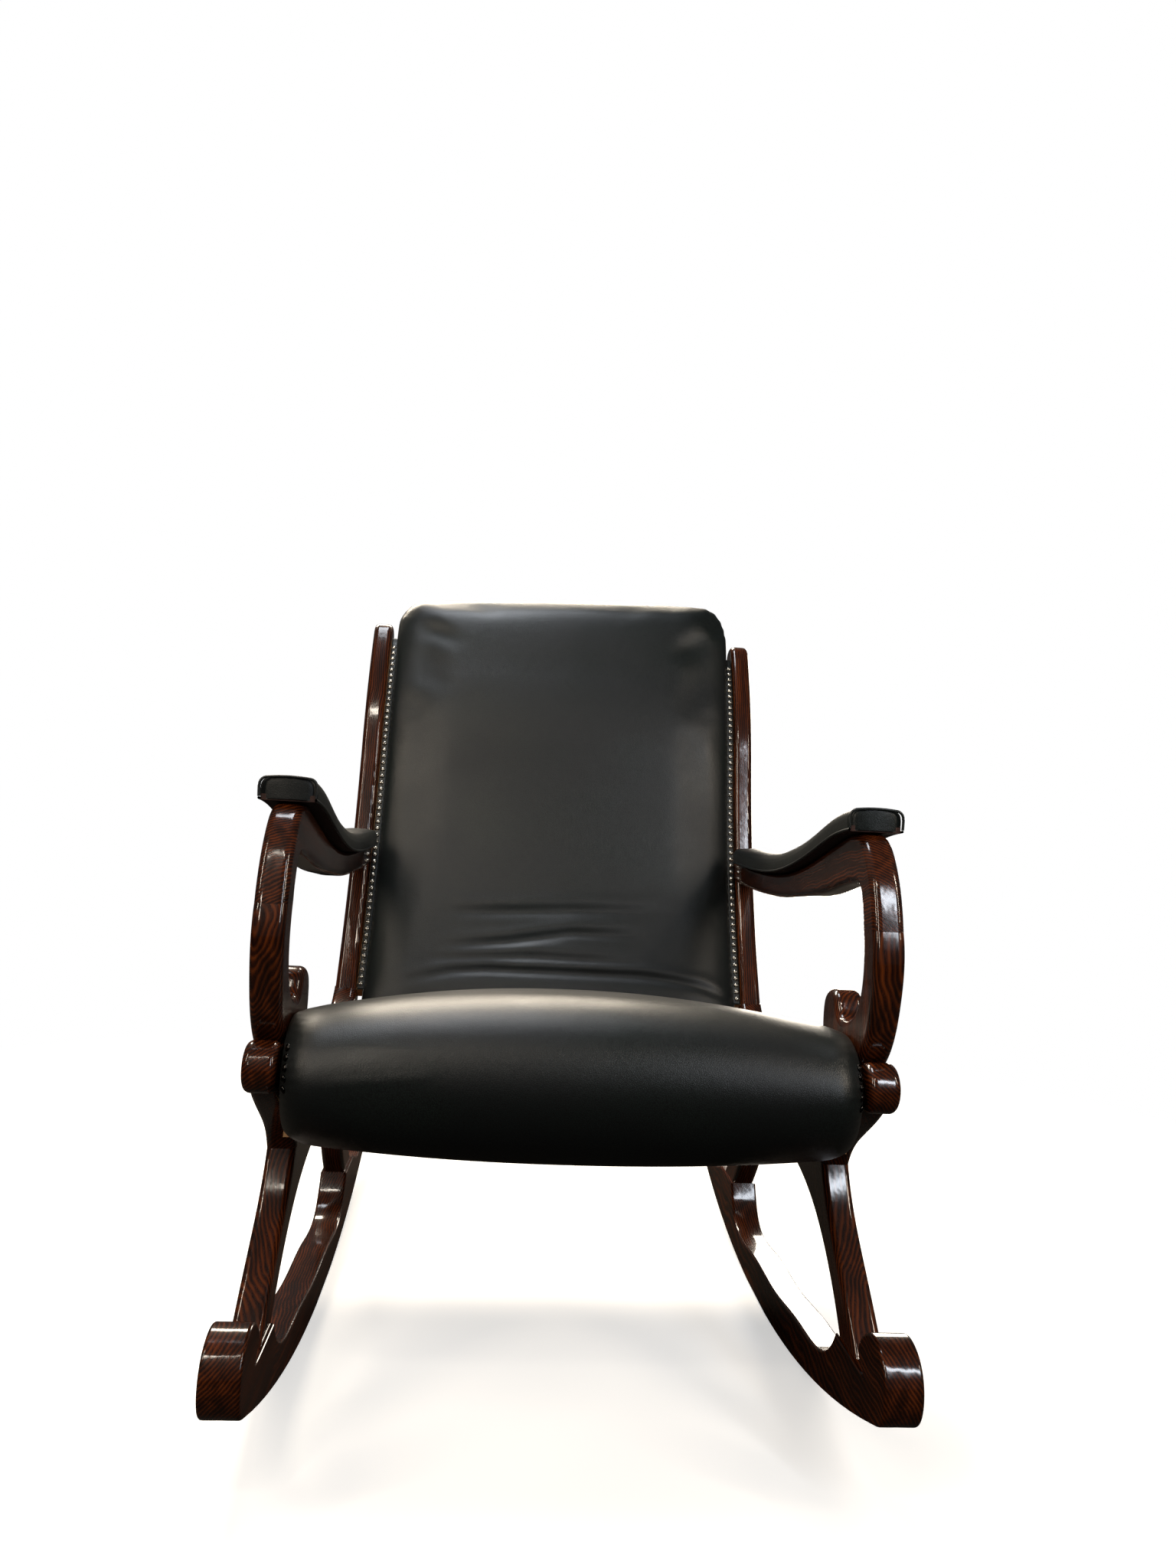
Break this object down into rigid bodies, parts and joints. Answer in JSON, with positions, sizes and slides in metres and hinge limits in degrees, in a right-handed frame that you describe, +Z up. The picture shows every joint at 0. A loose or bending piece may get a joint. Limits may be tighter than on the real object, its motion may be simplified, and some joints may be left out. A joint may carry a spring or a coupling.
{
  "type": "rocking chair",
  "caption": "Upholstered rocking chair with carved side frames on long rockers, open padded arms, a rolled leather seat and a tall S-shaped leather back.",
  "frame": {"origin": "on the floor, halfway along the rockers and halfway across the chair", "axes": "+Z up; the chair faces -Y; +X to the sitter's left, the viewer's right when looking at the front"},
  "size_m": [0.643, 0.9234, 0.964],
  "materials": {
    "oak": "gloss",
    "plywood": "satin",
    "beech": "matte",
    "leather": "satin",
    "stuffing": "matte",
    "burlap": "matte",
    "jute": "matte",
    "lining": "matte",
    "nail_metal": "satin",
    "spring_steel": "satin"
  },
  "bodies": {
    "root": {"rocker_left": "oak", "rocker_right": "oak", "front_leg_left": "oak", "front_leg_right": "oak", "rear_leg_left": "oak", "rear_leg_right": "oak", "seat_side_rail_left": "oak", "seat_side_rail_right": "oak", "back_stile_left": "oak", "back_stile_right": "oak", "arm_support_left": "oak", "arm_support_right": "oak", "upper_arm_left": "oak", "upper_arm_right": "oak", "arm_pad_board_left": "plywood", "arm_pad_board_right": "plywood", "front_seat_rail": "beech", "rear_seat_rail": "beech", "seat_cleat_left": "beech", "seat_cleat_right": "beech", "seat_corner_blocks": "beech", "back_frame_member_left": "beech", "back_frame_member_right": "beech", "crest_rail": "beech", "lumbar_rail": "beech", "foot_dowels": "beech", "leg_dowels": "beech", "arm_dowels": "beech", "stile_dowels": "beech", "arm_pad_left": "leather", "arm_pad_right": "leather", "seat_leather": "leather", "back_leather": "leather", "outside_back_leather": "leather", "seat_stuffing": "stuffing", "back_stuffing": "stuffing", "spring_cloth": "burlap", "back_webbing": "jute", "underside_cloth": "lining", "back_nails_left": "nail_metal", "back_nails_right": "nail_metal", "seat_roll_nails_left": "nail_metal", "seat_roll_nails_right": "nail_metal", "seat_springs": "spring_steel", "frame_screws": "spring_steel"}
  },
  "joints": []
}
